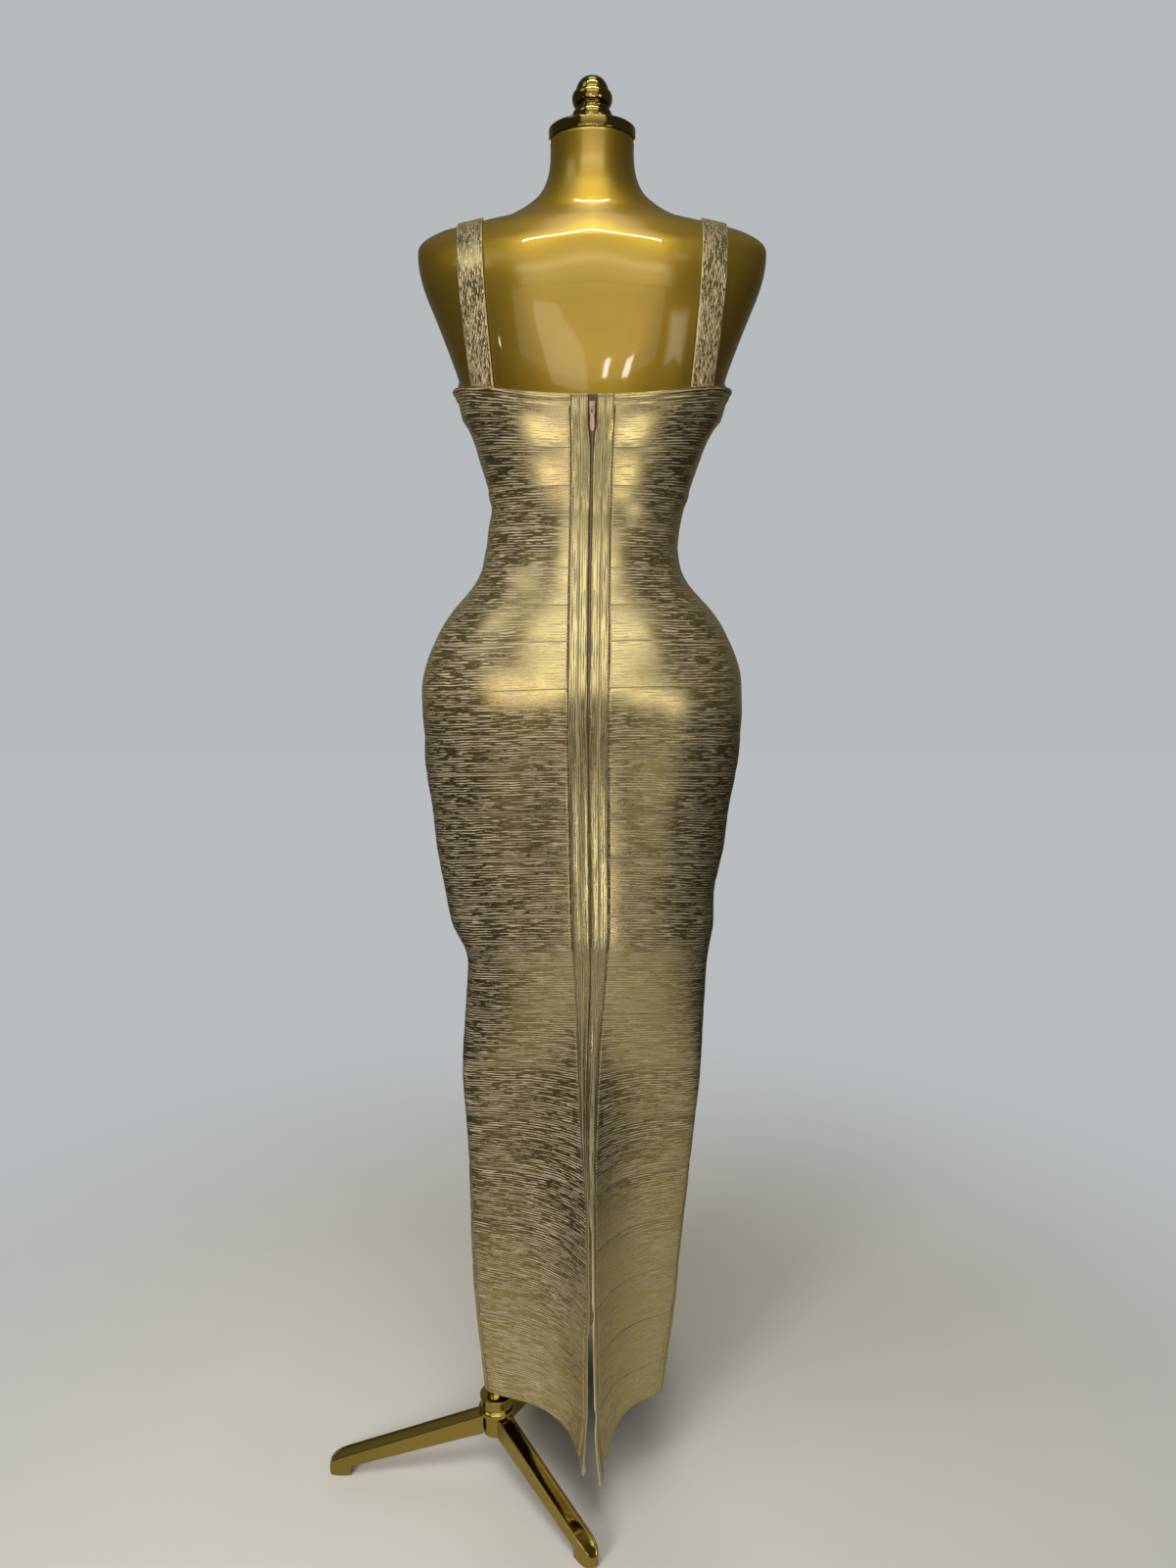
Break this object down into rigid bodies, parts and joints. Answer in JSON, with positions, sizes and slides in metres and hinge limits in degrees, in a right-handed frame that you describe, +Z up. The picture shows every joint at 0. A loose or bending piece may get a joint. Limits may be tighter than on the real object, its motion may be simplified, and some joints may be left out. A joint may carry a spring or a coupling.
{
  "type": "bodycon dress on limbless dress form",
  "caption": "Floor-length bodycon dress of sewn foil-knit strips with straps, back zip and back slit, worn by a limbless dress form on an off-centre tripod stand.",
  "frame": {"origin": "middle of the bounding box's footprint on the floor, under the feet of the stand", "axes": "+Z up, +Y out of the back of the dress, where the zip is, +X to the wearer's left"},
  "size_m": [0.5307, 0.3776, 1.6725],
  "materials": {
    "foil_knit": "gold foil print on ribbed knit",
    "foil_knit_upright": "gold foil print on ribbed knit, grain upright",
    "zip_tape": "woven tape",
    "zip_metal": "satin enamel",
    "gold_lacquer": "gloss gold lacquer",
    "polished_gold": "polished gold plate",
    "socket_steel": "plain"
  },
  "bodies": {
    "dressed_form": {"front_panel": "foil_knit", "back_panel_left": "foil_knit", "back_panel_right": "foil_knit", "top_binding": "foil_knit", "placket_left": "foil_knit_upright", "placket_right": "foil_knit_upright", "strap_left": "foil_knit_upright", "strap_right": "foil_knit_upright", "zip_tape_left": "zip_tape", "zip_tape_right": "zip_tape", "zip_slider": "zip_metal", "form_shell": "gold_lacquer", "form_base_plate": "gold_lacquer", "pole_socket": "socket_steel", "neck_cap": "polished_gold", "finial": "polished_gold", "pole": "polished_gold", "hub": "polished_gold", "hub_collar": "polished_gold", "leg_left": "polished_gold", "leg_back": "polished_gold", "leg_front": "polished_gold"},
    "zip_pull": {"zip_pull": "zip_metal"}
  },
  "joints": [
    {"name": "zip_pull_swing", "type": "hinge", "parent": "dressed_form", "child": "zip_pull", "pos_m": [-0.07485, 0.10731, 1.32094], "axis": [1, 0, 0], "range_deg": [0, 150]}
  ]
}
